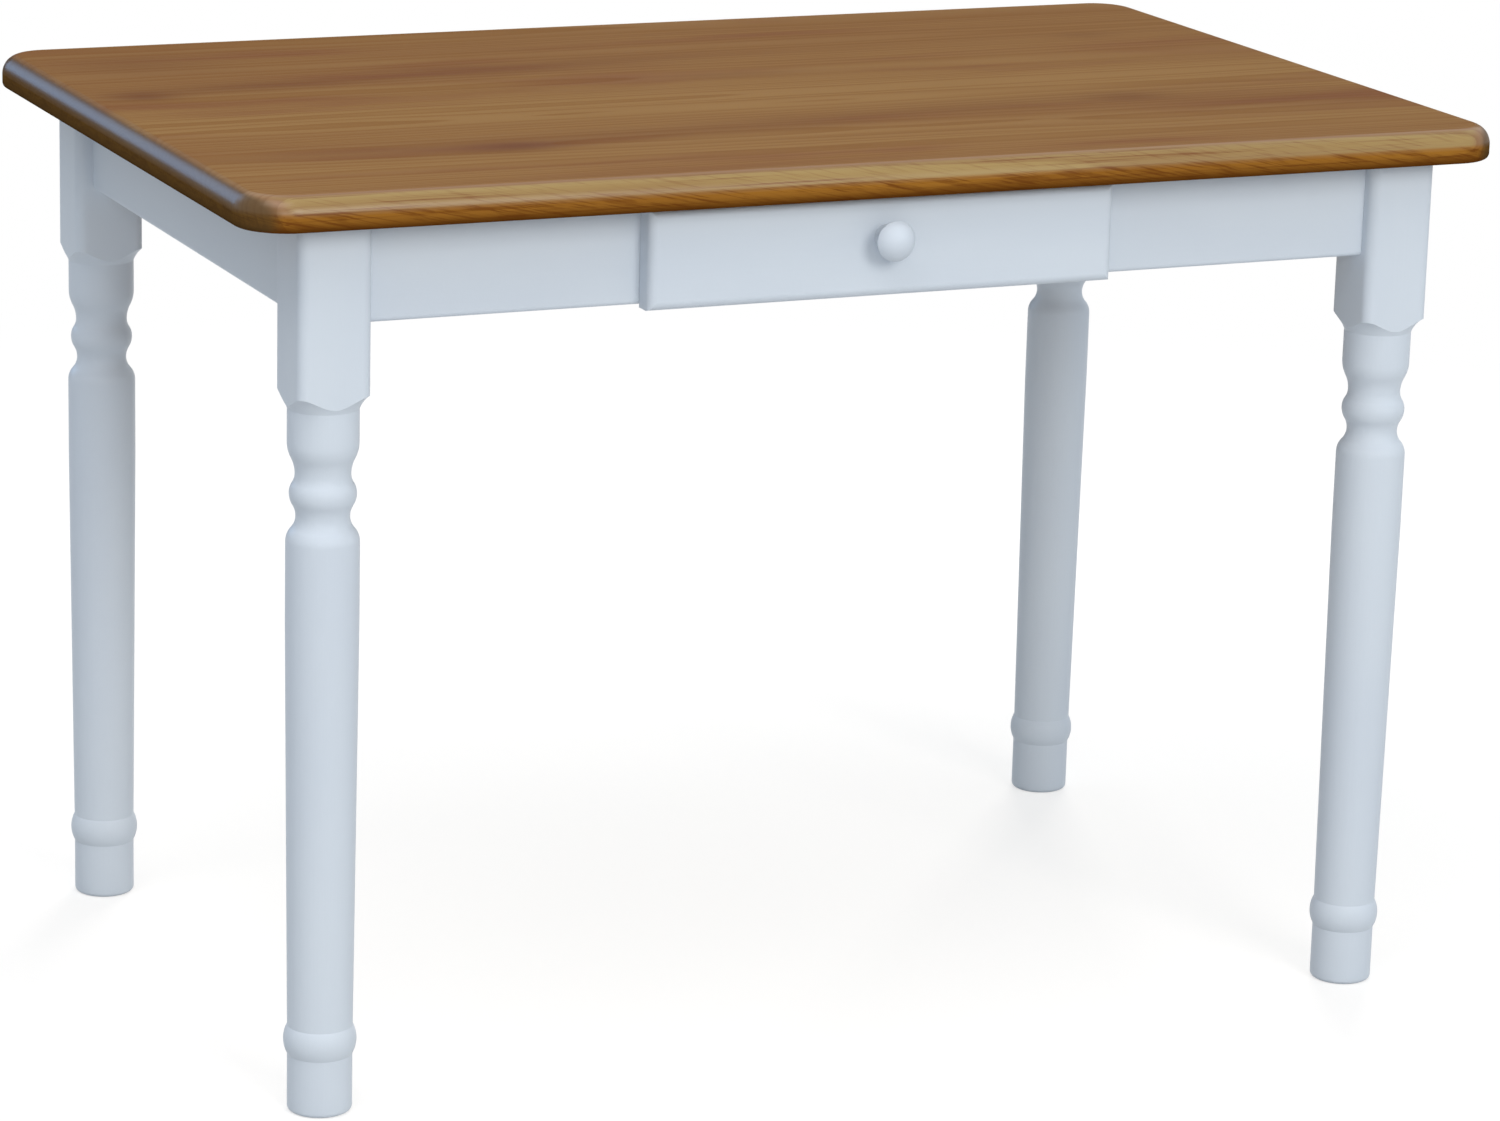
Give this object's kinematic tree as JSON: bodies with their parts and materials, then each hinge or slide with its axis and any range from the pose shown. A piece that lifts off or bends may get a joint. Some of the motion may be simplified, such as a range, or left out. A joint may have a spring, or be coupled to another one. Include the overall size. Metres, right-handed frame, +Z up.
{
  "type": "kitchen table",
  "caption": "Wooden kitchen table with a stained board top, rounded corners, white turned legs and a shallow drawer with a round knob in the long side.",
  "frame": {"origin": "on the floor under the middle of the whole table, knob included", "axes": "+X along the table's length, +Y from the drawer side to the back, +Z up"},
  "size_m": [1.1, 0.7052, 0.755],
  "materials": {
    "stained_pine": "stained and clear lacquered",
    "white_lacquer": "white satin lacquer",
    "bare_pine": "planed, unfinished",
    "plywood": "sanded",
    "beech": "fluted, unfinished",
    "zinc_steel": "zinc plated"
  },
  "bodies": {
    "table": {"apron_back": "white_lacquer", "apron_front_left": "white_lacquer", "apron_front_right": "white_lacquer", "apron_left": "white_lacquer", "apron_right": "white_lacquer", "batten_screws": "zinc_steel", "bracket_screws": "zinc_steel", "corner_block_back_left": "bare_pine", "corner_block_back_right": "bare_pine", "corner_block_front_left": "bare_pine", "corner_block_front_right": "bare_pine", "corner_block_screws": "zinc_steel", "drawer_guide_left": "bare_pine", "drawer_guide_right": "bare_pine", "drawer_kicker_left": "bare_pine", "drawer_kicker_right": "bare_pine", "drawer_runner_left": "bare_pine", "drawer_runner_right": "bare_pine", "guide_dowels": "beech", "hanger_bolts": "zinc_steel", "hanger_nuts": "zinc_steel", "hanger_washers": "zinc_steel", "leg_back_left": "white_lacquer", "leg_back_right": "white_lacquer", "leg_front_left": "white_lacquer", "leg_front_right": "white_lacquer", "top_board_1": "stained_pine", "top_board_2": "stained_pine", "top_board_3": "stained_pine", "top_board_4": "stained_pine", "top_board_5": "stained_pine", "top_board_6": "stained_pine", "top_board_7": "stained_pine", "top_brackets": "zinc_steel"},
    "drawer": {"drawer_back": "bare_pine", "drawer_bottom": "plywood", "drawer_box_front": "bare_pine", "drawer_dowels": "beech", "drawer_front": "white_lacquer", "drawer_front_screws": "zinc_steel", "drawer_knob": "white_lacquer", "drawer_side_left": "bare_pine", "drawer_side_right": "bare_pine", "knob_screw": "zinc_steel"}
  },
  "joints": [
    {"name": "drawer_slide", "type": "slide", "parent": "table", "child": "drawer", "axis": [0, -1, 0], "range_m": [0, 0.28]}
  ]
}
